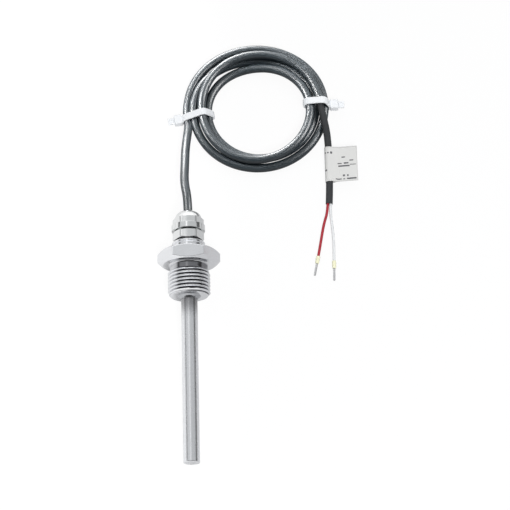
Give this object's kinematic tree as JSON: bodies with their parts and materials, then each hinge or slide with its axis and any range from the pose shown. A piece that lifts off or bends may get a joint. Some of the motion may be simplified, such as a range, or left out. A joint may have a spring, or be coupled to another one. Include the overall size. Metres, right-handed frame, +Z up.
{
  "type": "immersion temperature sensor",
  "caption": "Immersion temperature sensor lying flat: closed steel probe tube on a hexagon screw fitting with a cable gland, and a coiled black cable with ferruled leads.",
  "frame": {"origin": "on the table under the middle of the rigid sensor's box, from the tip of the tube to the cable gland's mouth", "axes": "+Y from the tip towards the cable gland, +Z up from the table, +X to the right seen from the tip; the sensor leans on its hexagon and tip, so its own axis rises by about 5 degrees along +Y"},
  "size_m": [0.1015, 0.2288, 0.0275],
  "materials": {
    "stainless_steel": "turned stainless steel, satin on the flats and polished on the tube",
    "nickel_plate": "bright nickel plate on brass",
    "seal_rubber": "black sealing rubber",
    "cage_nylon": "black moulded nylon",
    "chip_ceramic": "white ceramic",
    "bare_wire": "drawn bare wire",
    "splice_plastic": "shrunk insulating tube",
    "heat_paste": "set heat-conducting compound",
    "red_insulation": "smooth red insulation",
    "white_insulation": "smooth white insulation",
    "black_jacket": "glossy black cable jacket",
    "sleeve_plastic": "matt charcoal shrink sleeve",
    "tie_nylon": "natural white nylon",
    "label_film": "plain white self-adhesive film",
    "collar_plastic": "pale yellow moulded collar",
    "tinned_copper": "tinned copper tube"
  },
  "bodies": {
    "root": {"screw_fitting": "stainless_steel", "protective_tube": "stainless_steel", "tube_end_plug": "stainless_steel", "tube_weld": "stainless_steel", "gland_body": "nickel_plate", "gland_cap_nut": "nickel_plate", "gland_o_ring": "seal_rubber", "gland_seal": "seal_rubber", "gland_clamp_cage": "cage_nylon", "sensing_chip": "chip_ceramic", "chip_leads": "bare_wire", "splice_sleeves": "splice_plastic", "thermal_filler": "heat_paste", "red_core": "red_insulation", "red_lead": "red_insulation", "white_core": "white_insulation", "white_lead": "white_insulation", "cable_inlet": "black_jacket", "cable_lead": "black_jacket", "cable_coil": "black_jacket", "end_sleeve": "sleeve_plastic", "cable_tie_left": "tie_nylon", "cable_tie_right": "tie_nylon", "label_flag": "label_film", "red_ferrule_collar": "collar_plastic", "white_ferrule_collar": "collar_plastic", "red_ferrule_pin": "tinned_copper", "white_ferrule_pin": "tinned_copper"}
  },
  "joints": []
}
